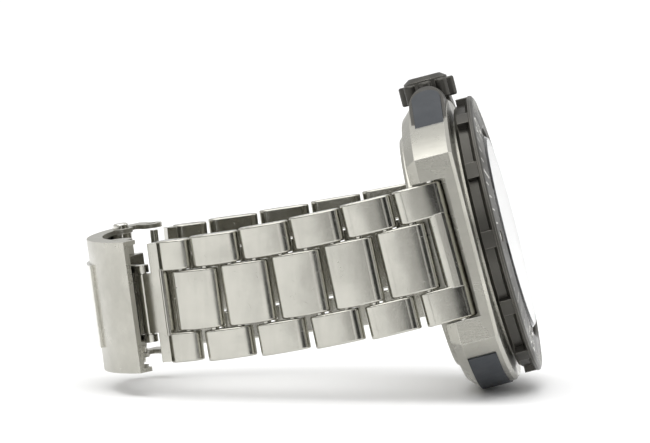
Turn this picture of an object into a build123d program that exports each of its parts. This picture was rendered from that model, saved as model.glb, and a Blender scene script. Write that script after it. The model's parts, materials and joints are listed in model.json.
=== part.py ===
from build123d import *

import math
import os

# A diver's wristwatch on a closed steel bracelet, standing on its 9 o'clock flank.
# World: +X out of the dial, +Y from 12 to 6 o'clock, +Z up, the crown on top. Millimetres and degrees.
# Case pieces are drawn dial up: +X to 6 o'clock, +Y to the crown, +Z out of the dial.
# Bracelet pieces are drawn with +X along the bracelet to the clasp, +Y outward, +Z along their pins.

# ---- Case ----
CASE_LENGTH = 45.0  # over the end faces at 12 and 6 o'clock
CASE_WIDTH = 42.0  # over the flanks
END_WIDTH = 27.2  # of each flat end face
CASE_HEIGHT = 7.0
CASE_BEVEL = 1.5  # round the case's back
LUG_GAP = 20.5
LUG_BAR_X = 20.3
LUG_BAR_Z = 2.9
LUG_BAR_RADIUS = 0.75
BAR_TIP_RADIUS = 0.4
BAR_TIP_LENGTH = 1.1
RECESS_X = 18.4  # floor of the recess that takes the end link
RECESS_TOP = 5.2
INLAY_DEPTH = 0.8
INLAY_PROUD = 0.2
INLAY_WIDTH = 4.2
FLANK_INLAY_LOW = 1.6

# ---- Dial side ----
BEZEL_DIAMETER = 41.0
BEZEL_LOW = 7.5
BEZEL_TOP = 10.9
BEZEL_EDGE = 9.6  # height where the grip band ends and the round rim begins
GRIP_COUNT = 12
GRIP_WIDTH = 2.5
GRIP_DEPTH = 1.0
CRYSTAL_DIAMETER = 28.6
CRYSTAL_LOW = 8.2
CRYSTAL_TOP = 11.1
GASKET_WALL = 0.4
NECK_WALL = 0.6
NECK_RADIUS = 17.5
SLIDING = 0.2  # clearance of a turning or folding piece
BORE_RADIUS = 14.9
BORE_TOP = 7.9
DIAL_LOW = 5.4
DIAL_THICK = 0.4
MOVEMENT_RADIUS = 12.8
MOVEMENT_LOW = 1.0
BATTERY_RADIUS = 4.75
BATTERY_THICK = 2.1
BACK_RADIUS = 17.2
BACK_THICK = 1.2
SCREW_COUNT = 6
SCREW_CIRCLE = 16.0
SCREW_RADIUS = 0.5

# ---- Crown ----
CROWN_Z = 4.4
CROWN_RADIUS = 4.1
CROWN_LOW = 21.2
CROWN_HEIGHT = 3.7
CROWN_LOBES = 8
CROWN_TRAVEL = 1.8
STEM_RADIUS = 0.6
STEM_HOLE = 0.9
HOUR_RISE = 0.5  # of the hour hand above the dial
HAND_STEP = 0.6  # from each hand to the one above
TUBE_RADIUS = 1.8
GUARD_TIP_Y = 23.4
GUARD_LOW = 1.8
GUARD_HIGH = 7.0
GUARD_FOOT = (20.0, 14.6)
GUARD_SHOULDER = (6.5, 22.9)
GUARD_GAP = 0.4  # between the crown's lobes and the guard

# ---- Bracelet ----
PIN_STEP = 3.98  # from one pin to the next
LINK_COUNT = 5
LINK_THICK = 3.0
LINK_OVERHANG = 1.7  # of a link beyond its pin
LINK_ROUND = 1.3
LINK_BOW_RADIUS = 9.0  # of a link's outer face
LINK_EDGE = 0.25
LUG_END_WIDTH = 20.0
CLASP_END_WIDTH = 17.4
OUTER_SHARE = 0.25  # of the width, each outer row
ROW_GAP = 0.2
PIN_RADIUS = 0.6
PIN_RECESS = 0.3
BAR_PLAY = 0.4
TONGUE_REACH = 6.4  # from the last pin to the clasp bar
TONGUE_THICK = 1.8
KNUCKLE_RADIUS = 1.0
FIRST_HEADING = 4.0  # outward slope of the end link
BEND_PER_HINGE = 5.3  # inward
CASE_LEAN = 14.7
CLASP_LEAN = 6.0
CASE_ROLL = -3.5
LEAN_EASE = 0.75  # the lean fades to the clasp by this power

# ---- Clasp, in a frame at the centre of its arcs: +X outward, +Y to 12 o'clock, +Z along its pins ----
BAR_ANGLE = 41.0
COVER_GAP = 3.2  # from the bars' arc to the inside of the cover
COVER_THICK = 0.9
COVER_NEAR = 46.0
COVER_FAR = -38.0
WALL_THICK = 0.65
WALL_GAP = 0.2  # between the bracelet's edge and the clasp wall
WALL_DEPTH = 1.4
EAR_RADIUS = 1.6
COVER_HINGE_ANGLE = 33.0
FOLD_HINGE_ANGLE = -30.0
BARREL_RADIUS = 1.05
BLADE_THICK = 0.9
BLADE_HALF = 5.6
BLADE_KNUCKLE_HALF = 2.8
TONGUE_HALF = 4.3
BUTTON_ANGLE = -26.0
BUTTON_RADIUS = 1.1
BUTTON_TRAVEL = 0.7
BUTTON_PROUD = 0.8
PLATE_SPAN = 17.0
PLATE_HALF = 6.0


# ---- Plain shapes ----
def disc(radius, low, high):
    return Pos(0, 0, low) * Cylinder(radius, high - low, align=(Align.CENTER, Align.CENTER, Align.MIN))


def ring(inner, outer, low, high):
    return disc(outer, low, high) - disc(inner, low, high)


def block(x0, x1, y0, y1, z0, z1):
    corner = (Align.MIN, Align.MIN, Align.MIN)
    return Pos(x0, y0, z0) * Box(x1 - x0, y1 - y0, z1 - z0, align=corner)


def turned(*profile):
    """A closed profile of (radius, height) points, turned about Z."""
    points = [(radius, 0, height) for radius, height in profile]
    return revolve(make_face(Polyline(*points, close=True)), Axis.Z)


def around(shape, count):
    return [Rot(0, 0, 360 / count * step) * shape for step in range(count)]


def group(shapes):
    return Compound(list(shapes))


def polar(radius, angle):
    """A point of the clasp's side view."""
    return (radius * math.cos(math.radians(angle)), radius * math.sin(math.radians(angle)))


def sector(inner, outer, start, stop, low, high):
    """A stretch of a curved plate whose side view is an annular sector."""
    middle = (start + stop) / 2
    edges = [
        ThreePointArc(polar(outer, start), polar(outer, middle), polar(outer, stop)),
        Line(polar(outer, stop), polar(inner, stop)),
        ThreePointArc(polar(inner, stop), polar(inner, middle), polar(inner, start)),
        Line(polar(inner, start), polar(outer, start)),
    ]
    return extrude(Pos(0, 0, low) * make_face(edges), amount=high - low)


def both_sides(shape):
    return [shape, mirror(shape, about=Plane.XY)]


# ---- Case pieces, dial up ----
half_length = CASE_LENGTH / 2
half_width = CASE_WIDTH / 2
half_end = END_WIDTH / 2
half_gap = LUG_GAP / 2
flank_sag = half_width - half_end
flank_radius = (half_length**2 + flank_sag**2) / (2 * flank_sag)
flank_centre = flank_radius - half_width
gasket_radius = CRYSTAL_DIAMETER / 2 + GASKET_WALL
rim_radius = gasket_radius + NECK_WALL
pocket_half = CROWN_RADIUS + GUARD_GAP
crown_axis = Plane(origin=(0, 0, CROWN_Z), x_dir=(1, 0, 0), z_dir=(0, 1, 0)).location


def case_outline():
    edges = [
        Line((-half_length, -half_end), (-half_length, half_end)),
        ThreePointArc((-half_length, half_end), (0, half_width), (half_length, half_end)),
        Line((half_length, half_end), (half_length, -half_end)),
        ThreePointArc((half_length, -half_end), (0, -half_width), (-half_length, -half_end)),
    ]
    return make_face(edges)


def guard_inlay(grow):
    """The rubber strip in the guard's slanted face on the 6 o'clock side, round at its crown end."""
    foot = Vector(GUARD_FOOT[0], GUARD_FOOT[1], CROWN_Z)
    along = Vector(GUARD_SHOULDER[0] - GUARD_FOOT[0], GUARD_SHOULDER[1] - GUARD_FOOT[1], 0)
    length = along.length
    out = Vector(-along.Y, along.X, 0) * -1
    face = Plane(origin=foot, x_dir=along, z_dir=out)
    run = length - 3.0
    strip = Pos(0.5 + run / 2, 0) * Rectangle(run, INLAY_WIDTH) + Pos(0.5 + run, 0) * Circle(INLAY_WIDTH / 2)
    return extrude(face * Pos(0, 0, -INLAY_DEPTH) * strip, amount=INLAY_DEPTH + grow)


def flank_band(inner, outer):
    """The rubber band's space along the 9 o'clock flank, between two distances from the flank's arc."""
    spread = math.degrees(math.asin((half_length - 3.5) / flank_radius))
    top = FLANK_INLAY_LOW + INLAY_WIDTH
    start, stop = -90 - spread, -90 + spread
    arc = sector(flank_radius + inner, flank_radius + outer, start, stop, FLANK_INLAY_LOW, top)
    return Pos(0, flank_centre, 0) * arc


def make_case():
    shape = extrude(case_outline(), amount=CASE_HEIGHT)
    shape = chamfer(shape.faces().sort_by(Axis.Z)[-1].edges(), 0.5)
    shape = chamfer(shape.faces().sort_by(Axis.Z)[0].edges(), CASE_BEVEL)
    for side in (-1, 1):
        far = side * (half_length + 1)
        near = side * RECESS_X
        shape -= block(min(near, far), max(near, far), -half_gap, half_gap, -1, RECESS_TOP)
        bar = Plane(origin=(side * LUG_BAR_X, -half_gap - 1.4, LUG_BAR_Z), z_dir=(0, 1, 0)).location
        shape -= bar * disc(BAR_TIP_RADIUS, 0, LUG_GAP + 2.8)
    shape += disc(NECK_RADIUS, CASE_HEIGHT, BEZEL_EDGE - 0.3)
    shape += disc(rim_radius, BEZEL_EDGE - 0.3, BEZEL_TOP - 0.6)
    shape -= disc(BORE_RADIUS, -1, BORE_TOP)
    shape -= disc(BORE_RADIUS - 0.6, BORE_TOP, CRYSTAL_LOW)
    shape -= disc(gasket_radius, CRYSTAL_LOW, BEZEL_TOP)
    shape -= disc(BORE_RADIUS + 0.45, -1, 0.4)
    shape -= ring(NECK_RADIUS - 0.5, NECK_RADIUS + 0.1, 7.7, 8.2)
    shape -= crown_axis * disc(TUBE_RADIUS, BORE_RADIUS - 1, CROWN_LOW)
    for hole in around(Pos(SCREW_CIRCLE, 0, 0) * disc(SCREW_RADIUS, -1, 1.6), SCREW_COUNT):
        shape -= hole
    for inlay in guard_inlays():
        shape -= inlay
    return shape - flank_band(-INLAY_DEPTH, 1)


def guard_inlays():
    strip = guard_inlay(INLAY_PROUD)
    return [strip, mirror(strip, about=Plane.YZ)]


def make_guard():
    """Two horns that shelter the crown, arched at the top and open in the middle."""
    foot_x, foot_y = GUARD_FOOT
    shoulder_x, shoulder_y = GUARD_SHOULDER
    outline = Polyline(
        (pocket_half, half_end),
        (pocket_half, GUARD_TIP_Y),
        (pocket_half + 0.6, GUARD_TIP_Y),
        (shoulder_x, shoulder_y),
        (foot_x, foot_y),
        (foot_x, half_end),
        close=True,
    )
    horn = extrude(Pos(0, 0, GUARD_LOW) * make_face(outline), amount=GUARD_HIGH - GUARD_LOW)
    arch_radius = (GUARD_HIGH - GUARD_LOW) / 2
    arch_y = GUARD_TIP_Y - arch_radius
    along = Plane(origin=(0, arch_y, CROWN_Z), z_dir=(1, 0, 0)).location
    arch = block(0, foot_x + 1, 0, arch_y, GUARD_LOW, GUARD_HIGH) + along * disc(arch_radius, 0, foot_x)
    horn = (horn & arch) - extrude(case_outline(), amount=CASE_HEIGHT)
    horn -= guard_inlay(INLAY_PROUD)
    return group([horn, mirror(horn, about=Plane.YZ)])


def make_bezel():
    radius = BEZEL_DIAMETER / 2
    bore = NECK_RADIUS + SLIDING
    facet = radius - GRIP_DEPTH
    shape = turned(
        (bore, BEZEL_LOW),
        (facet - 0.4, BEZEL_LOW),
        (facet, BEZEL_LOW + 0.5),
        (facet - 0.1, BEZEL_EDGE - 0.3),
        (radius - 0.25, BEZEL_EDGE),
        (radius, BEZEL_EDGE + 0.25),
        (radius - 0.05, BEZEL_EDGE + 0.6),
        (radius - 0.5, BEZEL_TOP - 0.45),
        (rim_radius + SLIDING + 0.4, BEZEL_TOP),
        (rim_radius + SLIDING, BEZEL_TOP - 0.2),
        (rim_radius + SLIDING, BEZEL_EDGE),
        (bore, BEZEL_EDGE),
    )
    for seat in around(grip(), GRIP_COUNT):
        shape -= seat
    return shape - Pos(-pip_radius, 0, 0) * disc(0.9, BEZEL_TOP - 0.9, BEZEL_TOP + 1)


def grip():
    radius = BEZEL_DIAMETER / 2
    body = block(radius - 1.5, radius - 0.1, -GRIP_WIDTH / 2, GRIP_WIDTH / 2, BEZEL_LOW + 0.5, BEZEL_TOP - 0.9)
    return body & disc(radius - 0.1, BEZEL_LOW, BEZEL_TOP)


def make_crown_cap():
    inner = CROWN_RADIUS - 0.9
    shape = disc(inner, 0, CROWN_HEIGHT - 0.6)
    shape += Pos(0, 0, CROWN_HEIGHT - 0.6) * Cone(inner, inner - 0.9, 0.6, align=(Align.CENTER, Align.CENTER, Align.MIN))
    lobe = fillet(disc(0.95, 0, CROWN_HEIGHT - 0.9).edges().filter_by(GeomType.CIRCLE), 0.3)
    for one in around(Pos(CROWN_RADIUS - 0.95, 0, 0) * lobe, CROWN_LOBES):
        shape += one
    shape -= disc(TUBE_RADIUS + SLIDING + 0.1, -1, 2.2)
    shape -= disc(STEM_RADIUS, 2.0, 3.2)
    return shape


def make_movement():
    shape = disc(MOVEMENT_RADIUS, MOVEMENT_LOW, DIAL_LOW)
    for step, radius in enumerate((0.6, 0.4, 0.2)):
        shape += disc(radius, DIAL_LOW, dial_top + HOUR_RISE + HAND_STEP * step + 0.3)
    shape -= Pos(*battery_place) * disc(BATTERY_RADIUS + 0.05, MOVEMENT_LOW - 1, MOVEMENT_LOW + BATTERY_THICK)
    return shape - stem_hole


def hand(length, width, tail, hole, low):
    """A pointed hand with a round boss, pointing at 12 o'clock."""
    outline = Polyline(
        (tail, -width / 2), (tail, width / 2), (0.8 - length, width / 2), (-length, 0), (0.8 - length, -width / 2),
        close=True,
    )
    shape = extrude(make_face(outline), amount=0.18) + disc(hole + 0.5, 0, 0.18)
    return Pos(0, 0, low) * (shape - disc(hole, -1, 1))


def marker(hour):
    length = 3.2 if hour % 3 == 0 else 2.0
    bar = block(-12.6, -12.6 + length, -0.5, 0.5, dial_top, dial_top + 0.25)
    return Rot(0, 0, -30 * hour) * bar


dial_top = DIAL_LOW + DIAL_THICK
pip_radius = (BEZEL_DIAMETER / 2 + rim_radius) / 2
battery_place = (4.0, -5.0, 0)
stem_hole = crown_axis * disc(STEM_HOLE, 7.0, BORE_RADIUS + 1)
screw = disc(SCREW_RADIUS, -0.7, 1.5) + disc(0.9, -BACK_THICK, -0.7)
screws = around(Pos(SCREW_CIRCLE, 0, 0) * screw, SCREW_COUNT)
back = disc(BACK_RADIUS, -BACK_THICK, 0) + disc(BORE_RADIUS - 0.05, 0, 0.6)
back = chamfer(back.faces().sort_by(Axis.Z)[0].edges(), 0.4)
for one in screws:
    back -= one
lug_bar = disc(LUG_BAR_RADIUS, 0, LUG_GAP) + disc(BAR_TIP_RADIUS, -BAR_TIP_LENGTH, LUG_GAP + BAR_TIP_LENGTH)
lug_bars = [
    Plane(origin=(side * LUG_BAR_X, -half_gap, LUG_BAR_Z), z_dir=(0, 1, 0)).location * lug_bar for side in (-1, 1)
]
collar_low = 8.0
stem = disc(STEM_RADIUS, collar_low + 0.6, CROWN_LOW + 3.2) + disc(STEM_RADIUS - 0.25, collar_low - 0.6, CROWN_LOW)

case_nodes = {
    "mid_case": make_case(),
    "case_back": back,
    "case_back_screws": group(screws),
    "case_back_gasket": ring(BORE_RADIUS, BORE_RADIUS + 0.4, 0, 0.35),
    "crown_guard": make_guard(),
    "guard_inlays": group(guard_inlays()),
    "flank_inlay": flank_band(-INLAY_DEPTH, INLAY_PROUD),
    "crown_tube": crown_axis * ring(STEM_RADIUS + 0.25, TUBE_RADIUS, BORE_RADIUS, CROWN_LOW + 1.8),
    "movement": make_movement(),
    "battery": Pos(*battery_place) * disc(BATTERY_RADIUS, MOVEMENT_LOW, MOVEMENT_LOW + BATTERY_THICK - 0.05),
    "movement_ring": ring(MOVEMENT_RADIUS, BORE_RADIUS - 0.05, MOVEMENT_LOW, DIAL_LOW) - stem_hole,
    "dial": ring(0.9, BORE_RADIUS - 0.05, DIAL_LOW, dial_top),
    "dial_markers": group(marker(hour) for hour in range(12)),
    "chapter_ring": turned(
        (BORE_RADIUS - 0.05, dial_top), (13.2, dial_top), (13.9, BORE_TOP), (BORE_RADIUS - 0.05, BORE_TOP)
    ),
    "crystal": chamfer(disc(CRYSTAL_DIAMETER / 2, CRYSTAL_LOW, CRYSTAL_TOP).edges().sort_by(Axis.Z)[-1], 0.4),
    "crystal_gasket": ring(CRYSTAL_DIAMETER / 2, gasket_radius, CRYSTAL_LOW, BEZEL_TOP - 0.8),
    "bezel_spring": ring(NECK_RADIUS - 0.45, NECK_RADIUS - 0.05, 7.75, 8.15) - block(10, 20, -1, 1, 7, 9),
    "lug_spring_bars": group(lug_bars),
    "bezel_ring": make_bezel(),
    "bezel_grips": group(around(grip(), GRIP_COUNT)),
    "bezel_pip": Pos(-pip_radius, 0, 0) * disc(0.9, BEZEL_TOP - 0.9, BEZEL_TOP - 0.35),
    "stem_collar": crown_axis * ring(STEM_RADIUS - 0.25, 0.8, collar_low - 0.4, collar_low + 0.4),
    "crown_stem": crown_axis * stem,
    "crown_cap": crown_axis * Pos(0, 0, CROWN_LOW) * make_crown_cap(),
    "hour_hand": hand(8.0, 1.6, 1.8, 0.68, dial_top + HOUR_RISE),
    "minute_hand": hand(12.0, 1.2, 2.2, 0.46, dial_top + HOUR_RISE + HAND_STEP),
    "seconds_hand": hand(12.4, 0.4, 3.6, 0.26, dial_top + HOUR_RISE + 2 * HAND_STEP),
}


# ---- Where the watch stands: lean about Y and roll about X ----
def attitude(lean, roll):
    return Location((0, 0, 0), (0, -lean, 0)) * Location((0, 0, 0), (roll, 0, 0))


case_place = attitude(CASE_LEAN, CASE_ROLL)
dial_up = case_place * Plane.YZ.location


# ---- Bracelet ----
def width_at(step):
    """The bracelet's width, tapered evenly from the lugs to the clasp."""
    return LUG_END_WIDTH + (CLASP_END_WIDTH - LUG_END_WIDTH) * step / (2 * LINK_COUNT)


def link_body(x0, x1, low, high):
    """A link from one end to the other: a bar with rounded ends, bowed on its outer face."""
    half = (x1 - x0) / 2
    flat = half - min(LINK_ROUND, 0.9 * half)
    under = -LINK_THICK / 2
    shoulder = LINK_THICK / 2 - flat**2 / (2 * LINK_BOW_RADIUS)
    middle = (under + shoulder) / 2
    tip = flat + min(half - flat, shoulder - middle)
    edges = [
        Line((-flat, under), (flat, under)),
        ThreePointArc((flat, under), (tip, middle), (flat, shoulder)),
        ThreePointArc((flat, shoulder), (0, LINK_THICK / 2), (-flat, shoulder)),
        ThreePointArc((-flat, shoulder), (-tip, middle), (-flat, under)),
    ]
    return extrude(Pos(x0 + half, 0, low) * make_face(edges), amount=high - low)


def softened(shape):
    """A link with its two side faces' edges rounded."""
    return fillet(shape.edges().filter_by(Plane.XY), LINK_EDGE)


def pin(x, width):
    return Pos(x, 0, 0) * disc(PIN_RADIUS, PIN_RECESS - width / 2, width / 2 - PIN_RECESS)


def bored(shape, x, radius):
    return shape - Pos(x, 0, 0) * disc(radius, -LUG_END_WIDTH, LUG_END_WIDTH)


def outer_pair(x0, x1, width):
    inner = width * (0.5 - OUTER_SHARE)
    return both_sides(softened(link_body(x0, x1, inner + ROW_GAP / 2, width / 2)))


def centre_link(x0, x1, width):
    half = width * (0.5 - OUTER_SHARE) - ROW_GAP / 2
    return softened(link_body(x0, x1, -half, half))


def end_link():
    """Solid end link: both outer lobes joined behind the first centre link; it carries the first pin."""
    first, second = outer_pair(-LINK_OVERHANG, PIN_STEP + LINK_OVERHANG, LUG_END_WIDTH)
    core_end = PIN_STEP - LINK_OVERHANG - 0.5
    half = LUG_END_WIDTH * (0.5 - OUTER_SHARE) + 0.4
    shape = first + second + link_body(-LINK_OVERHANG, core_end, -half, half)
    shape = bored(shape, 0, LUG_BAR_RADIUS + BAR_PLAY)
    shape = bored(shape, PIN_STEP, PIN_RADIUS)
    return group([shape, pin(PIN_STEP, LUG_END_WIDTH)])


def link_centre(step):
    width = width_at(step)
    shape = centre_link(-LINK_OVERHANG, PIN_STEP + LINK_OVERHANG, width)
    return bored(bored(shape, 0, PIN_RADIUS + SLIDING), PIN_STEP, PIN_RADIUS)


def link_outer(step):
    """A pair of outer links with the fixed pin that joins them to their centre and the pin they carry on."""
    width = width_at(step)
    last = 2 * PIN_STEP
    pieces = []
    for shape in outer_pair(PIN_STEP - LINK_OVERHANG, last + LINK_OVERHANG, width):
        pieces.append(bored(bored(shape, PIN_STEP, PIN_RADIUS), last, PIN_RADIUS))
    return group(pieces + [pin(PIN_STEP, width), pin(last, width)])


def clasp_end(step):
    """Clasp end link: short outer lobes, a strip across, and a thin tongue round the clasp bar."""
    width = width_at(step)
    bar_x = PIN_STEP + TONGUE_REACH
    body_end = PIN_STEP + LINK_OVERHANG + 1.7
    strip_start = PIN_STEP + LINK_OVERHANG + 0.4
    first, second = outer_pair(PIN_STEP - LINK_OVERHANG, body_end, width)
    half = width * (0.5 - OUTER_SHARE) + 0.4
    shape = first + second + link_body(strip_start, body_end, -half, half)
    edge = width / 2 - 0.2
    half_tongue = TONGUE_THICK / 2
    shape += block(body_end - 1.0, bar_x - 1.8, -half_tongue, half_tongue, -edge, edge)
    shape += block(bar_x - 1.9, bar_x, -half_tongue, half_tongue, -TONGUE_HALF, TONGUE_HALF)
    shape += Pos(bar_x, 0, 0) * disc(KNUCKLE_RADIUS, -TONGUE_HALF, TONGUE_HALF)
    shape = bored(shape, PIN_STEP, PIN_RADIUS)
    shape -= Pos(bar_x, 0, 0) * disc(PIN_RADIUS + SLIDING, -TONGUE_HALF - 1, TONGUE_HALF + 1)
    return group([shape, pin(PIN_STEP, width)])


def bracelet_half(side):
    """Places of the six bodies of one half, side -1 at 12 o'clock and +1 at 6, each with its next hinge."""
    start = case_place * Pos(LUG_BAR_Z, side * LUG_BAR_X, 0)
    point = start.position
    lengths = [PIN_STEP] + [2 * PIN_STEP] * (LINK_COUNT - 1) + [PIN_STEP + TONGUE_REACH]
    span = sum(lengths)
    done = 0
    y = side * LUG_BAR_X
    places = []
    for index, length in enumerate(lengths):
        share = (done + length / 2) / span
        heading = math.radians(FIRST_HEADING - BEND_PER_HINGE * index)
        y += side * length * math.sin(heading) / 2
        lean = CASE_LEAN - (CASE_LEAN - CLASP_LEAN) * share**LEAN_EASE
        turn = attitude(lean, CASE_ROLL * (1 - share))
        # The roll fades along the bracelet, so each half climbs or drops a little as it goes.
        climb = -y * math.radians(CASE_ROLL) / span
        along = (turn * Pos(-math.cos(heading), side * math.sin(heading), climb)).position
        across = (turn * Pos(0, 0, -side)).position
        plane = Plane(origin=point, x_dir=along, z_dir=across - along * (across.dot(along) / along.dot(along)))
        places.append(plane)
        point = point + plane.x_dir * length
        done += length
        y += side * length * math.sin(heading) / 2
    return places, point


half_12, bar_12 = bracelet_half(-1)
half_6, bar_6 = bracelet_half(1)

nodes = {name: dial_up * shape for name, shape in case_nodes.items()}
for hour, places in (("12", half_12), ("6", half_6)):
    nodes[f"end_link_{hour}"] = places[0].location * end_link()
    for number in range(1, LINK_COUNT + 1):
        place = places[number].location
        step = 2 * number - 1
        nodes[f"link_{hour}_{number}_centre"] = place * link_centre(step)
        outer = link_outer(step) if number < LINK_COUNT else clasp_end(step)
        nodes[f"link_{hour}_{number}_outer"] = place * outer

# ---- Clasp: it spans the two bars, so its arcs and its frame follow from where the bracelet ends ----
bar_span = (bar_12 - bar_6).length
bar_radius = bar_span / 2 / math.sin(math.radians(BAR_ANGLE))
clasp_y = (bar_12 - bar_6) / bar_span
clasp_up = half_12[-1].z_dir - clasp_y * half_12[-1].z_dir.dot(clasp_y)
clasp_x = clasp_y.cross(clasp_up.normalized())
clasp_centre = (bar_12 + bar_6) / 2 - clasp_x * (bar_radius * math.cos(math.radians(BAR_ANGLE)))
clasp = Plane(origin=clasp_centre, x_dir=clasp_x, z_dir=clasp_up)

cover_inner = bar_radius + COVER_GAP
cover_outer = cover_inner + COVER_THICK
wall_low = CLASP_END_WIDTH / 2 + WALL_GAP
wall_high = wall_low + WALL_THICK
cover_hinge = polar(cover_inner - BARREL_RADIUS - 0.2, COVER_HINGE_ANGLE)
upper_blade = cover_inner - BARREL_RADIUS * 2 - 0.1
fold_radius = upper_blade - 0.2
fold_hinge = polar(fold_radius, FOLD_HINGE_ANGLE)
bar_point = polar(bar_radius, BAR_ANGLE)
far_bar_point = polar(bar_radius, -BAR_ANGLE)
lower_blade = upper_blade - 0.5 - BLADE_THICK
button_point = polar(cover_inner - 1.4, BUTTON_ANGLE)


def at(point):
    return Pos(point[0], point[1], 0)


def ear(point, radius, angle):
    """A rounded ear of the cover's wall round a pin."""
    round_end = at(point) * disc(radius, wall_low, wall_high)
    reach = math.degrees(radius / cover_inner) * 0.98
    root = sector(math.hypot(*point), cover_outer, angle - reach, angle + reach, wall_low, wall_high)
    return round_end + root


def make_cover():
    plate = sector(cover_inner, cover_outer, COVER_FAR, COVER_NEAR, -wall_high, wall_high)
    wall = sector(cover_inner - WALL_DEPTH, cover_outer, COVER_FAR, COVER_NEAR, wall_low, wall_high)
    wall += ear(cover_hinge, EAR_RADIUS + 0.6, COVER_HINGE_ANGLE)
    wall += ear(far_bar_point, EAR_RADIUS, -BAR_ANGLE)
    wall += at(button_point) * disc(BUTTON_RADIUS + 0.6, wall_low, wall_high)
    wall -= at(cover_hinge) * disc(PIN_RADIUS, 0, wall_high + 1)
    wall -= at(far_bar_point) * disc(PIN_RADIUS + SLIDING, 0, wall_high + 1)
    wall -= at(button_point) * disc(BUTTON_RADIUS + 0.1, 0, wall_high + 1)
    shape = plate + wall + mirror(wall, about=Plane.XY)
    return shape


def make_blade(radius, start, stop):
    return sector(radius, radius + BLADE_THICK, start, stop, -BLADE_HALF, BLADE_HALF)


def make_middle_blade():
    """The blade under the cover, one knuckle at the cover hinge and one at the fold hinge."""
    shape = make_blade(upper_blade, FOLD_HINGE_ANGLE, COVER_HINGE_ANGLE)
    shape -= at(fold_hinge) * disc(BARREL_RADIUS + 0.35, -BLADE_HALF - 1, BLADE_HALF + 1)
    shape += at(cover_hinge) * disc(BARREL_RADIUS, -BLADE_HALF, BLADE_HALF)
    tab = sector(upper_blade, upper_blade + BLADE_THICK, FOLD_HINGE_ANGLE, FOLD_HINGE_ANGLE + 8, 0, BLADE_KNUCKLE_HALF)
    knuckle = tab + at(fold_hinge) * disc(BARREL_RADIUS, 0, BLADE_KNUCKLE_HALF)
    shape += knuckle + mirror(knuckle, about=Plane.XY)
    shape -= at(cover_hinge) * disc(PIN_RADIUS + 0.1, -BLADE_HALF - 1, BLADE_HALF + 1)
    return shape - at(fold_hinge) * disc(PIN_RADIUS + 0.1, -BLADE_HALF - 1, BLADE_HALF + 1)


def make_bottom_blade():
    """The blade next to the wrist: outer knuckles at the fold hinge, two ears round the bracelet's bar."""
    blade_end = BAR_ANGLE - 5.5
    shape = make_blade(lower_blade, FOLD_HINGE_ANGLE - 1, blade_end)
    shape -= at(fold_hinge) * disc(BARREL_RADIUS + 0.3, -BLADE_KNUCKLE_HALF - SLIDING, BLADE_KNUCKLE_HALF + SLIDING)
    side = at(fold_hinge) * disc(BARREL_RADIUS, BLADE_KNUCKLE_HALF + SLIDING, BLADE_HALF)
    ear_low = TONGUE_HALF + SLIDING
    side += at(bar_point) * disc(KNUCKLE_RADIUS, ear_low, BLADE_HALF)
    side += sector(lower_blade, lower_blade + BLADE_THICK, blade_end - 2, BAR_ANGLE, ear_low, BLADE_HALF)
    shape += side + mirror(side, about=Plane.XY)
    shape -= at(fold_hinge) * disc(PIN_RADIUS, -BLADE_HALF - 1, BLADE_HALF + 1)
    return shape - at(bar_point) * disc(PIN_RADIUS, -BLADE_HALF - 1, BLADE_HALF + 1)


def make_button():
    """A round side button with a collar inside the wall."""
    head = disc(BUTTON_RADIUS, wall_low - 1.0, wall_high + BUTTON_PROUD)
    head = fillet(head.edges().sort_by(Axis.Z)[-1], 0.35)
    return at(button_point) * (head + disc(BUTTON_RADIUS + 0.3, wall_low - 1.0, wall_low - 0.05))


clasp_nodes = {
    "clasp_cover": make_cover(),
    "cover_plate": sector(cover_outer, cover_outer + 0.5, -PLATE_SPAN, PLATE_SPAN, -PLATE_HALF, PLATE_HALF),
    "cover_hinge_pin": at(cover_hinge) * disc(PIN_RADIUS, 0.1 - wall_high, wall_high - 0.1),
    "middle_blade": make_middle_blade(),
    "fold_hinge_pin": at(fold_hinge) * disc(PIN_RADIUS, -BLADE_HALF, BLADE_HALF),
    "bottom_blade": make_bottom_blade(),
    "clasp_bar_12": at(bar_point) * disc(PIN_RADIUS, -BLADE_HALF, BLADE_HALF),
    "push_button_upper": make_button(),
    "push_button_lower": mirror(make_button(), about=Plane.XY),
}
for name, shape in clasp_nodes.items():
    nodes[name] = clasp.location * shape
# The sprung bar at 6 o'clock is drawn in, clear of the cover's ears.
bar_half = wall_low - 0.4
last_6 = half_6[-1].location
nodes["clasp_bar_6"] = last_6 * Pos(PIN_STEP + TONGUE_REACH, 0, 0) * disc(PIN_RADIUS, -bar_half, bar_half)

# ---- Stand the watch on the floor, centred ----
boxes = [shape.bounding_box() for shape in nodes.values()]
x_middle = (min(box.min.X for box in boxes) + max(box.max.X for box in boxes)) / 2
y_middle = (min(box.min.Y for box in boxes) + max(box.max.Y for box in boxes)) / 2
settle = Pos(-x_middle, -y_middle, -min(box.min.Z for box in boxes))
nodes = {name: settle * shape for name, shape in nodes.items()}

os.makedirs("parts", exist_ok=True)
for name, shape in nodes.items():
    export_step(shape, f"parts/{name}.step")
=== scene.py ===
# %% [markdown]
# # A steel diver's watch, standing on its flank
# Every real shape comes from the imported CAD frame. This file gives each piece its finish, adds the fine
# printed and cut detail that is too thin for CAD, and sets the light and the camera.

import json

import bmesh
import bpy
import numpy as np
from mathutils import Matrix, Vector


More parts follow.
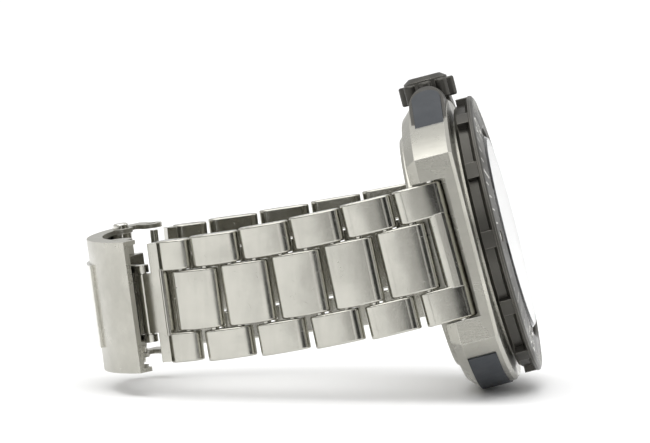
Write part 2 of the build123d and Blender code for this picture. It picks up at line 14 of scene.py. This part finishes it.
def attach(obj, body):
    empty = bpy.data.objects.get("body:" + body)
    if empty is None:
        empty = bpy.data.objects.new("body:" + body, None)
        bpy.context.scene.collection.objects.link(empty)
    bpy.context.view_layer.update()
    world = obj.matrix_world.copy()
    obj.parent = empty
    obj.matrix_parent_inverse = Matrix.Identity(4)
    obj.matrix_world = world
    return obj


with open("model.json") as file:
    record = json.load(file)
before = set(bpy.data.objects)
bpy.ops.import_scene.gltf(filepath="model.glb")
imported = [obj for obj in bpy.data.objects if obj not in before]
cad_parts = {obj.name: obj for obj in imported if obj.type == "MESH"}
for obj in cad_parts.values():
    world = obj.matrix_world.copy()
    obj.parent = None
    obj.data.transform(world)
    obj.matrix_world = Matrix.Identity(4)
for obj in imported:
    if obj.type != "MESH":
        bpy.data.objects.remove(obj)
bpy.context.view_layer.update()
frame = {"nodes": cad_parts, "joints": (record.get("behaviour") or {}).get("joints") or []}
MM = 0.001


# %% [markdown]
# ## Where the dial is
# The watch leans, so a tick on the dial can't be placed in plain X, Y and Z. The bezel's joint turns about
# the dial's normal and the crown's joint about the line to 3 o'clock. Their cross product points to
# 6 o'clock. A matrix of the three directions takes a point from the dial to the room.

# %% The dial's own axes
joint_of = {joint["name"]: joint for joint in frame["joints"]}


def direction(name):
    """A joint's axis, divided by its own length."""
    axis = np.array(joint_of[name]["axis"], dtype=float)
    return axis / np.linalg.norm(axis)


to_front = direction("bezel_turn")
to_three = direction("crown_turn")
to_six = np.cross(to_three, to_front)
dial_axes = np.stack([to_six, to_three, to_front])
on_axis = np.array(joint_of["bezel_turn"]["pos_m"], dtype=float)
print("dial faces", to_front.round(3))


def node_points(name):
    """A node's corners in the dial's axes: each corner, less a point on the centre line, times the axes."""
    mesh = frame["nodes"][name].data
    flat = np.empty(len(mesh.vertices) * 3)
    mesh.vertices.foreach_get("co", flat)
    return (flat.reshape(-1, 3) - on_axis) @ dial_axes.T


def on_dial(minute, radius, height):
    """Room points at a minute: (-cos, sin) of the clock angle times the radius, and height on the normal."""
    minute, radius, height = np.broadcast_arrays(minute, radius, height)
    angle = np.pi * minute / 30
    local = np.stack([-radius * np.cos(angle), radius * np.sin(angle), height], axis=-1)
    return on_axis + local @ dial_axes


# %% [markdown]
# ## Shader groups
# Steel that is worn on a wrist shows three effects: the grain of the belt that brushed it, the hairlines and
# smudges of use, and edges that are broken by tumbling. Painted image maps could show them, but they would
# blur in a close view. Node groups work at any distance, and each material sets their strength.

# %% Small node helpers
def new_group(name, inputs, outputs):
    """A shader group with float, vector and colour sockets."""
    group = bpy.data.node_groups.new(name, "ShaderNodeTree")
    for label, kind, value in inputs:
        socket = group.interface.new_socket(label, in_out="INPUT", socket_type="NodeSocket" + kind)
        if value is not None:
            socket.default_value = value
    for label, kind in outputs:
        group.interface.new_socket(label, in_out="OUTPUT", socket_type="NodeSocket" + kind)
    return group, group.nodes.new("NodeGroupInput"), group.nodes.new("NodeGroupOutput")


def add(tree, kind, values=None, **settings):
    """A node with its settings and input values."""
    node = tree.nodes.new("ShaderNode" + kind)
    for key, value in settings.items():
        setattr(node, key, value)
    for key, value in (values or {}).items():
        node.inputs[key].default_value = value
    return node


def spread(tree, low, high, source, to_low=0.0, to_high=1.0):
    """A clamped straight ramp from low..high to to_low..to_high."""
    ramp = add(tree, "MapRange", {1: low, 2: high, 3: to_low, 4: to_high})
    tree.links.new(source, ramp.inputs[0])
    return ramp.outputs[0]


def combine(tree, operation, first, second):
    """One sum, product or other step between two values."""
    step = add(tree, "Math", operation=operation)
    for socket, value in zip(step.inputs, (first, second)):
        if isinstance(value, (int, float)):
            socket.default_value = value
        else:
            tree.links.new(value, socket)
    return step.outputs[0]


# %% Brushed grain
grain, grain_in, grain_out = new_group(
    "belt brushed grain",
    [("Vector", "Vector", None), ("Fineness", "Float", 9000.0)],
    [("Height", "Float"), ("Tone", "Float")],
)
fine = add(grain, "TexNoise", {"Detail": 3.0, "Roughness": 0.7})
broad = add(grain, "TexNoise", {"Detail": 2.0, "Roughness": 0.5})
grain.links.new(grain_in.outputs["Vector"], fine.inputs["Vector"])
grain.links.new(grain_in.outputs["Vector"], broad.inputs["Vector"])
grain.links.new(grain_in.outputs["Fineness"], fine.inputs["Scale"])
grain.links.new(combine(grain, "MULTIPLY", grain_in.outputs["Fineness"], 0.12), broad.inputs["Scale"])
grain.links.new(fine.outputs["Fac"], grain_out.inputs["Height"])
grain.links.new(spread(grain, 0.3, 0.7, broad.outputs["Fac"]), grain_out.inputs["Tone"])

# %% Hairlines and smudges
use, use_in, use_out = new_group(
    "hairlines and smudges",
    [("Vector", "Vector", None), ("Hairline size", "Float", 420.0), ("Smudge size", "Float", 160.0)],
    [("Hairline", "Float"), ("Smudge", "Float")],
)
curl = add(use, "TexNoise", {"Detail": 1.0, "Distortion": 1.4})
cloud = add(use, "TexNoise", {"Detail": 4.0, "Roughness": 0.55, "Distortion": 0.3})
where = add(use, "TexNoise", {"Scale": 900.0, "Detail": 1.0})
for texture in (curl, cloud, where):
    use.links.new(use_in.outputs["Vector"], texture.inputs["Vector"])
use.links.new(use_in.outputs["Hairline size"], curl.inputs["Scale"])
use.links.new(use_in.outputs["Smudge size"], cloud.inputs["Scale"])
from_middle = combine(use, "ABSOLUTE", combine(use, "SUBTRACT", curl.outputs["Fac"], 0.5), 0.0)
line = spread(use, 0.0, 0.012, from_middle, 1.0, 0.0)
broken = spread(use, 0.5, 0.58, where.outputs["Fac"])
use.links.new(combine(use, "MULTIPLY", line, broken), use_out.inputs["Hairline"])
use.links.new(spread(use, 0.38, 0.68, cloud.outputs["Fac"]), use_out.inputs["Smudge"])

# %% Broken edges
edge, edge_in, edge_out = new_group(
    "broken edge",
    [("Radius", "Float", 0.0001)],
    [("Normal", "Vector"), ("Edge", "Float")],
)
rounded = add(edge, "Bevel", samples=4)
flat_normal = add(edge, "NewGeometry")
agree = add(edge, "VectorMath", operation="DOT_PRODUCT")
edge.links.new(edge_in.outputs["Radius"], rounded.inputs["Radius"])
edge.links.new(rounded.outputs["Normal"], agree.inputs[0])
edge.links.new(flat_normal.outputs["Normal"], agree.inputs[1])
edge.links.new(rounded.outputs["Normal"], edge_out.inputs["Normal"])
edge.links.new(spread(edge, 0.995, 0.93, agree.outputs["Value"]), edge_out.inputs["Edge"])
print("groups", [group.name for group in bpy.data.node_groups])


# %% [markdown]
# ## Finishes
# One recipe makes every opaque finish. It mixes two close colours by the smudges, lightens the broken edges,
# raises the roughness where hands have dulled the surface, and cuts the grain and hairlines in as bump.
# A separate shader for each piece would be freer, but then the steel of neighbouring links wouldn't match.

# %% The recipe
finishes = {}


def finish(name, base, worn, rough, metallic=1.0, stretch=(1, 1, 1), turn=(0, 0, 0), fineness=9000.0,
           grain_depth=0.1, hairline=0.5, smudge=0.12, edge_mix=0.6, edge_radius=0.0001, sockets=None):
    """Base colour goes to worn at edges; roughness is rough plus smudge plus grain; bump is grain and hairlines."""
    made = bpy.data.materials.new(name)
    made.use_nodes = True
    tree = made.node_tree
    tree.nodes.clear()
    output = add(tree, "OutputMaterial")
    shader = add(tree, "BsdfPrincipled", {"Metallic": metallic, **(sockets or {})})
    place = add(tree, "TexCoord")
    lay = add(tree, "Mapping", {"Scale": stretch, "Rotation": turn})
    brushed = add(tree, "Group", node_tree=grain)
    used = add(tree, "Group", node_tree=use)
    corner = add(tree, "Group", node_tree=edge)
    brushed.inputs["Fineness"].default_value = fineness
    corner.inputs["Radius"].default_value = edge_radius
    link = tree.links.new
    link(place.outputs["Object"], lay.inputs["Vector"])
    link(lay.outputs["Vector"], brushed.inputs["Vector"])
    link(place.outputs["Object"], used.inputs["Vector"])
    tone = combine(tree, "MULTIPLY", used.outputs["Smudge"], 0.55)
    tone = combine(tree, "ADD", tone, combine(tree, "MULTIPLY", brushed.outputs["Tone"], 0.35))
    body_colour = add(tree, "Mix", data_type="RGBA")
    body_colour.inputs[6].default_value = (*base, 1)
    body_colour.inputs[7].default_value = (*[0.84 * channel for channel in base], 1)
    link(tone, body_colour.inputs[0])
    worn_colour = add(tree, "Mix", data_type="RGBA")
    worn_colour.inputs[7].default_value = (*worn, 1)
    link(body_colour.outputs[2], worn_colour.inputs[6])
    link(combine(tree, "MULTIPLY", corner.outputs["Edge"], edge_mix), worn_colour.inputs[0])
    link(worn_colour.outputs[2], shader.inputs["Base Color"])
    dull = combine(tree, "MULTIPLY", used.outputs["Smudge"], smudge)
    dull = combine(tree, "ADD", dull, combine(tree, "MULTIPLY", used.outputs["Hairline"], 0.2 * hairline))
    dull = combine(tree, "ADD", dull, combine(tree, "MULTIPLY", brushed.outputs["Height"], 0.1 * grain_depth))
    link(combine(tree, "ADD", dull, rough), shader.inputs["Roughness"])
    height = combine(tree, "MULTIPLY", brushed.outputs["Height"], grain_depth)
    cut = combine(tree, "MULTIPLY", used.outputs["Hairline"], -hairline * 0.4)
    bump = add(tree, "Bump", {"Strength": 0.35, "Distance": 0.00002})
    link(combine(tree, "ADD", height, cut), bump.inputs["Height"])
    link(corner.outputs["Normal"], bump.inputs["Normal"])
    link(bump.outputs["Normal"], shader.inputs["Normal"])
    link(shader.outputs["BSDF"], output.inputs["Surface"])
    finishes[name] = made
    return made


# %% Steel, dark steel, rubber and the rest
STEEL = (0.53, 0.52, 0.47)
BRIGHT = (0.8, 0.79, 0.74)
ALONG_PINS = (1.0, 1.0, 0.03)
finish("satin_steel", STEEL, BRIGHT, 0.1, stretch=ALONG_PINS, grain_depth=0.8, smudge=0.1)
finish("brushed_case_steel", (0.49, 0.48, 0.43), BRIGHT, 0.2, stretch=(0.05, 1.0, 1.0), grain_depth=1.0)
finish("polished_steel", (0.66, 0.65, 0.6), BRIGHT, 0.08, grain_depth=0.05, smudge=0.08, fineness=3000.0)
finish("dark_coated_steel", (0.075, 0.072, 0.064), (0.36, 0.345, 0.31), 0.28, metallic=0.85,
       grain_depth=0.5, fineness=5000.0, smudge=0.18, edge_radius=0.00015, edge_mix=0.55)
finish("moulded_rubber", (0.035, 0.04, 0.047), (0.09, 0.095, 0.1), 0.5, metallic=0.0, grain_depth=1.0,
       fineness=4000.0, hairline=0.3, smudge=0.16, edge_mix=0.4)
finish("seal_rubber", (0.015, 0.015, 0.015), (0.03, 0.03, 0.03), 0.6, metallic=0.0, fineness=3000.0)
finish("pale_dial", (0.8, 0.8, 0.77), (0.86, 0.86, 0.84), 0.35, metallic=0.2, grain_depth=0.2, hairline=0.0)
finish("white_print", (0.88, 0.88, 0.82), (0.92, 0.92, 0.88), 0.45, metallic=0.0, grain_depth=0.2, hairline=0.0)
finish("dark_print", (0.03, 0.03, 0.035), (0.05, 0.05, 0.05), 0.5, metallic=0.0, grain_depth=0.2, hairline=0.0)
finish("grey_plastic", (0.28, 0.28, 0.28), (0.4, 0.4, 0.4), 0.45, metallic=0.0, fineness=3000.0)
finish("gilt_movement", (0.72, 0.56, 0.3), (0.85, 0.75, 0.5), 0.28, grain_depth=0.5, fineness=4000.0)
print("finishes", sorted(finishes))

# %% [markdown]
# ## The crystal
# The flat glass shows the dial only from in front. From the side it mirrors the bright room, so it reads
# nearly white. Real glass does this by itself, through its index of refraction, so nothing is painted.

# %% Glass
glass = bpy.data.materials.new("flat_crystal")
glass.use_nodes = True
glass_shader = glass.node_tree.nodes["Principled BSDF"]
for label, value in {"Base Color": (0.97, 0.98, 0.98, 1), "Transmission Weight": 1.0, "IOR": 1.5}.items():
    glass_shader.inputs[label].default_value = value
glass_place = add(glass.node_tree, "TexCoord")
glass_use = add(glass.node_tree, "Group", node_tree=use)
glass.node_tree.links.new(glass_place.outputs["Object"], glass_use.inputs["Vector"])
smear = spread(glass.node_tree, 0.0, 1.0, glass_use.outputs["Smudge"], 0.005, 0.03)
glass.node_tree.links.new(smear, glass_shader.inputs["Roughness"])
finishes["flat_crystal"] = glass

# %% [markdown]
# ## Which piece has which finish
# The bracelet and clasp are satin, with bright pins. The bezel, crown and guard are coated dark, and rubber
# fills the guard. A node keeps its CAD shape and only its material slots change.

# %% Put the finishes on the CAD pieces
FINISH_OF = {
    "brushed_case_steel": ["mid_case", "case_back", "clasp_cover"],
    "satin_steel": ["end_link_12", "end_link_6", "middle_blade", "bottom_blade"],
    "dark_coated_steel": ["crown_guard", "bezel_ring", "bezel_grips", "crown_cap"],
    "moulded_rubber": ["guard_inlays", "flank_inlay"],
    "seal_rubber": ["case_back_gasket", "crystal_gasket"],
    "pale_dial": ["dial", "chapter_ring"],
    "white_print": ["bezel_pip"],
    "grey_plastic": ["movement_ring"],
    "gilt_movement": ["movement"],
    "flat_crystal": ["crystal"],
}
finish_by_node = {node: name for name, nodes in FINISH_OF.items() for node in nodes}
for node_name, node in frame["nodes"].items():
    fallback = "satin_steel" if node_name.startswith("link_") else "polished_steel"
    chosen = finishes[finish_by_node.get(node_name, fallback)]
    if not node.material_slots:
        node.data.materials.append(chosen)
    for material_slot in node.material_slots:
        material_slot.material = chosen
print("nodes finished", len(frame["nodes"]))


# %% [markdown]
# ## A section carried along a path
# Printed and cut marks are thin strips. A strip is a small section carried along a path, so its surface is a
# grid: one parameter runs round the section and the other along the path.

# %% Strip maker
def skin(sections, closed=False):
    """Corners and faces of sections on a path: quads join neighbours, and open ends are capped."""
    count, around, _ = sections.shape
    index = np.arange(count * around).reshape(count, around)
    beside = np.roll(index, -1, axis=1)
    last = count if closed else count - 1
    quads = np.stack(
        [index, beside, np.roll(beside, -1, axis=0), np.roll(index, -1, axis=0)], axis=-1
    )[:last].reshape(-1, 4)
    faces = quads.tolist()
    if not closed:
        faces += [index[0, ::-1].tolist(), index[-1].tolist()]
    return sections.reshape(-1, 3), faces


def add_piece(name, parts, finish_name, body):
    """One object from many skins: corners are stacked, and face numbers move up by the corners before."""
    corners = np.concatenate([points for points, _ in parts])
    starts = np.cumsum([0] + [len(points) for points, _ in parts[:-1]])
    faces = []
    for start, (_, own_faces) in zip(starts.tolist(), parts):
        faces += [[start + corner for corner in face] for face in own_faces]
    mesh = bpy.data.meshes.new(name)
    mesh.from_pydata(corners.tolist(), [], faces)
    work = bmesh.new()
    work.from_mesh(mesh)
    bmesh.ops.recalc_face_normals(work, faces=work.faces)
    work.to_mesh(mesh)
    work.free()
    mesh.materials.append(finishes[finish_name])
    piece = bpy.data.objects.new(name, mesh)
    bpy.context.scene.collection.objects.link(piece)
    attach(piece, body)
    print(name, len(faces), "faces")
    return piece


# %% [markdown]
# ## The bezel's minute scale
# The bezel's sloping face is cut with a mark for each minute and a number at every tenth. A boolean cut would
# be exact, but sixty cuts are slow and leave long thin faces. Strips that stand a few hundredths of a
# millimetre proud, on the cone of the face itself, read the same at any angle.

# %% The cone of the bezel's face
bezel = node_points("bezel_ring")
bezel_radius = np.hypot(bezel[:, 0], bezel[:, 1])
face_top = bezel[:, 2].max()
face_inner = bezel_radius[bezel[:, 2] > face_top - 0.01 * MM].max()
FACE_OUTER = bezel_radius.max() - 0.5 * MM
FACE_DROP = 0.45 * MM
MARK_PROUD = 0.03 * MM
MARK_SUNK = 0.05 * MM


def bezel_height(radius):
    """The face falls in a straight line from its inner to its outer edge."""
    return face_top - FACE_DROP * (radius - face_inner) / (FACE_OUTER - face_inner)


def bezel_strip(minutes, radii, width, closed=False):
    """A flat strip along a path in minutes and radii: each section has two corners above the face and two below."""
    minutes = np.asarray(minutes, dtype=float)
    radii = np.asarray(radii, dtype=float)
    across = minutes * np.pi / 30 * radii
    path = np.stack([across, radii], axis=-1)
    if closed:
        ahead = (np.roll(path, -1, axis=0) - np.roll(path, 1, axis=0)) / 2
    else:
        ahead = np.gradient(path, axis=0)
    side = np.stack([-ahead[:, 1], ahead[:, 0]], axis=-1)
    side *= width / 2 / np.linalg.norm(side, axis=1, keepdims=True)
    left, right = path + side, path - side
    flat = np.stack([left, right, right, left], axis=1)
    radius = flat[..., 1]
    minute = flat[..., 0] / radii[:, None] * 30 / np.pi
    lift = np.array([MARK_PROUD, MARK_PROUD, -MARK_SUNK, -MARK_SUNK])
    return skin(on_dial(minute, radius, bezel_height(radius) + lift), closed)


print("face from", round(face_inner / MM, 2), "to", round(FACE_OUTER / MM, 2), "mm")

# %% Minute marks
face_width = FACE_OUTER - face_inner
marks = []
for minute in range(60):
    inner_share = 0.25 if minute % 5 == 0 else 0.62
    to_number = abs(minute - 10 * round(minute / 10))
    if to_number > 1 or minute in (1, 59):
        start = face_inner + inner_share * face_width
        width = 0.5 * MM if minute % 5 == 0 else 0.22 * MM
        marks.append(bezel_strip([minute, minute], [start, FACE_OUTER - 0.35 * MM], width))
add_piece("bezel_minute_marks", marks, "polished_steel", "bezel")

# %% Numbers
bend = np.linspace(0, np.pi, 13)
NUMBER_HEIGHT = 0.62 * face_width
NUMBER_WIDTH = 0.62 * NUMBER_HEIGHT
STROKE = 0.3 * MM
round_once = np.linspace(0, 2 * np.pi, 24, endpoint=False)
OVAL = (np.stack([0.5 + 0.5 * np.cos(round_once), 0.5 + 0.5 * np.sin(round_once)], axis=-1), True)
UPPER_BOWL = np.stack([0.5 - 0.5 * np.cos(bend), 0.72 + 0.28 * np.sin(bend)], axis=-1)
RIGHT_LOW = np.stack([0.35 + 0.65 * np.sin(bend), 0.3 + 0.3 * np.cos(bend)], axis=-1)
RIGHT_HIGH = np.stack([0.35 + 0.55 * np.sin(bend), 0.78 + 0.22 * np.cos(bend)], axis=-1)
DIGITS = {
    0: [OVAL],
    1: [(np.array([[0.2, 0.78], [0.55, 1.0], [0.55, 0.0]]), False)],
    2: [(np.concatenate([UPPER_BOWL, [[0.0, 0.0], [1.0, 0.0]]]), False)],
    3: [
        (np.concatenate([[[0.05, 1.0]], RIGHT_HIGH]), False),
        (np.concatenate([RIGHT_LOW, [[0.0, 0.0]]]), False),
    ],
    4: [(np.array([[0.75, 0.0], [0.75, 1.0], [0.0, 0.3], [1.0, 0.3]]), False)],
    5: [(np.concatenate([[[0.9, 1.0], [0.15, 1.0], [0.1, 0.6]], RIGHT_LOW, [[0.0, 0.0]]]), False)],
}
low = face_inner + 0.18 * face_width
number_strips = []
for ten in range(1, 6):
    for place, digit in enumerate((ten, 0)):
        for path, closed in DIGITS[digit]:
            across = (path[:, 0] - 0.5) * NUMBER_WIDTH + (place - 0.5) * NUMBER_WIDTH * 1.45
            radii = low + path[:, 1] * NUMBER_HEIGHT
            middle = low + NUMBER_HEIGHT / 2
            number_strips.append(
                bezel_strip(10 * ten + across / middle * 30 / np.pi, radii, STROKE, closed)
            )
add_piece("bezel_numbers", number_strips, "polished_steel", "bezel")


# %% [markdown]
# ## The dial's printed track
# A printed dial has a fine minute track at its rim. Ink is only a few thousandths of a millimetre thick, so
# a strip just proud of the dial is enough.

# %% Minute track
dial_height = node_points("dial")[:, 2].max()
TRACK_OUTER = 13.0 * MM


def dial_strip(minute_a, minute_b, radius_a, radius_b, width, proud=0.02 * MM):
    """A straight bar between two dial points, with two corners above the dial and two on it."""
    ends = on_dial(np.array([minute_a, minute_b]), np.array([radius_a, radius_b]), dial_height)
    ahead = ends[1] - ends[0]
    side = np.cross(ahead, to_front)
    side *= width / 2 / np.linalg.norm(side)
    lift = to_front * proud
    corners = np.stack([ends + side + lift, ends - side + lift, ends - side, ends + side], axis=1)
    return skin(corners)


TRACK_LINE = 0.12 * MM
track = []
for minute in range(60):
    mark_length = (0.9 if minute % 5 else 1.3) * MM
    track.append(dial_strip(minute, minute, TRACK_OUTER - mark_length, TRACK_OUTER, TRACK_LINE))
add_piece("dial_minute_track", track, "dark_print", "case")

# %% [markdown]
# ## The case back's turned rings
# The back is turned on a lathe and keeps three shallow rings. A ring is a small section carried round a
# closed circle, so it has no seam.

# %% Turned rings
back_height = node_points("case_back")[:, 2].min()
circle = np.linspace(0, 60, 144, endpoint=False)
RING_HALF = 0.2 * MM
ring_parts = []
for ring_radius in (8.0 * MM, 11.0 * MM, 13.6 * MM):
    section_radius = ring_radius + np.array([-1.0, -0.5, 0.5, 1.0]) * RING_HALF
    section_height = back_height + np.array([0.04, -0.03, -0.03, 0.04]) * MM
    ring_parts.append(skin(on_dial(circle[:, None], section_radius[None, :], section_height[None, :]), True))
add_piece("case_back_rings", ring_parts, "polished_steel", "case")

# %% [markdown]
# ## Hour markers
# The raised markers are bright bars with a painted top. The paint is a thin strip on each bar, and it stays
# inside the bar's edge so that a bright frame shows round it.

# %% Painted marker tops
marker_top = node_points("dial_markers")[:, 2].max()
paint = []
for hour in range(12):
    length = 3.2 if hour % 3 == 0 else 2.0
    inner = (12.6 - length + 0.25) * MM
    proud = marker_top - dial_height + 0.03 * MM
    paint.append(dial_strip(5 * hour, 5 * hour, inner, 12.35 * MM, 0.6 * MM, proud))
add_piece("marker_paint", paint, "white_print", "case")

# %% [markdown]
# ## Light, floor and camera
# A watch is lit with large soft sources so that its polished edges show clean bands. A big overhead source
# gives the long highlights, a front one opens the shadows, and the pale floor lights everything from below.
# Small lamps would be easier but leave hard spots on the steel. The room's walls have two dark stretches
# either side of the camera, so the bowed links show the soft dark bands that make them read as metal.

# %% Floor
FLOOR_HALF = 6.0
floor_mesh = bpy.data.meshes.new("floor")
floor_corners = np.array([[-1, -1, 0], [1, -1, 0], [1, 1, 0], [-1, 1, 0]]) * FLOOR_HALF
floor_mesh.from_pydata(floor_corners.tolist(), [], [[0, 1, 2, 3]])
floor = bpy.data.objects.new("floor", floor_mesh)
bpy.context.scene.collection.objects.link(floor)
paper = bpy.data.materials.new("pale_paper")
paper.use_nodes = True
paper_shader = paper.node_tree.nodes["Principled BSDF"]
paper_shader.inputs["Base Color"].default_value = (0.93, 0.93, 0.93, 1)
paper_shader.inputs["Roughness"].default_value = 0.9
paper_shader.inputs["Specular IOR Level"].default_value = 0.1
floor_mesh.materials.append(paper)

# %% Room and soft lights
CEILING = 0.95
scene = bpy.context.scene
scene.view_settings.view_transform = "Standard"
world = bpy.data.worlds.new("room")
scene.world = world
world.use_nodes = True
room = world.node_tree
heading = add(room, "TexCoord")
compass = add(room, "TexGradient", gradient_type="RADIAL")
walls = add(room, "ValToRGB")
walls.color_ramp.interpolation = "EASE"
WALLS = [
    (0.0, 0.55), (0.13, 0.2), (0.2, 0.03), (0.235, 0.55), (0.28, 0.6), (0.31, 0.03), (0.4, 0.04), (0.44, 0.7),
]
walls.color_ramp.elements[0].position = WALLS[0][0]
walls.color_ramp.elements[1].position = WALLS[-1][0]
for position, _ in WALLS[1:-1]:
    walls.color_ramp.elements.new(position)
for stop, (_, level) in zip(walls.color_ramp.elements, WALLS):
    stop.color = (level, level, 0.985 * level, 1)
split = add(room, "SeparateXYZ")
ceiling = add(room, "Mix", data_type="RGBA")
ceiling.inputs[7].default_value = (CEILING, CEILING, CEILING, 1)
room.links.new(heading.outputs["Generated"], compass.inputs["Vector"])
room.links.new(compass.outputs["Fac"], walls.inputs["Fac"])
room.links.new(heading.outputs["Generated"], split.inputs["Vector"])
room.links.new(spread(room, 0.3, 0.6, split.outputs["Z"]), ceiling.inputs[0])
room.links.new(walls.outputs["Color"], ceiling.inputs[6])
room.links.new(ceiling.outputs[2], room.nodes["Background"].inputs["Color"])


def soft_light(name, at, aim, width, height, brightness):
    """An area light that faces a point: power is brightness times pi times its area."""
    data = bpy.data.lights.new(name, "AREA")
    data.shape = "RECTANGLE"
    data.size = width
    data.size_y = height
    data.energy = brightness * np.pi * width * height
    light = bpy.data.objects.new(name, data)
    scene.collection.objects.link(light)
    light.location = at
    light.rotation_euler = (Vector(aim) - light.location).to_track_quat("-Z", "Y").to_euler()
    return light


soft_light("overhead", (-0.1, -0.2, 1.1), (0, 0, 0.02), 1.6, 1.2, 1.6)
soft_light("front_left", (-0.4, -1.3, 0.9), (0, 0, 0.02), 0.8, 0.5, 1.3)
soft_light("right", (1.3, 0.1, 0.6), (0, 0, 0.02), 0.6, 0.8, 1.3)

# %% Camera
AZIMUTH = np.radians(3.31)
ELEVATION = np.radians(5.29)
DISTANCE = 1.5
back = np.array([
    np.sin(AZIMUTH) * np.cos(ELEVATION), -np.cos(AZIMUTH) * np.cos(ELEVATION), np.sin(ELEVATION)
])
right = np.array([np.cos(AZIMUTH), np.sin(AZIMUTH), 0.0])
up = np.cross(back, right)
WATCH_MIDDLE = np.array([0.0, 0.0, 23.0]) * MM
SHIFT_RIGHT = 1.57 * MM
SHIFT_UP = 1.16 * MM
aim = WATCH_MIDDLE + SHIFT_RIGHT * right + SHIFT_UP * up
place = aim + DISTANCE * back
lens = bpy.data.cameras.new("camera")
lens.sensor_width = 36.0
lens.lens = 573.0
lens.clip_end = 50.0
camera = bpy.data.objects.new("camera", lens)
scene.collection.objects.link(camera)
pose = np.eye(4)
pose[:3, 0], pose[:3, 1], pose[:3, 2], pose[:3, 3] = right, up, back, place
camera.matrix_world = Matrix(pose.tolist())
scene.camera = camera
print("camera at", place.round(3))
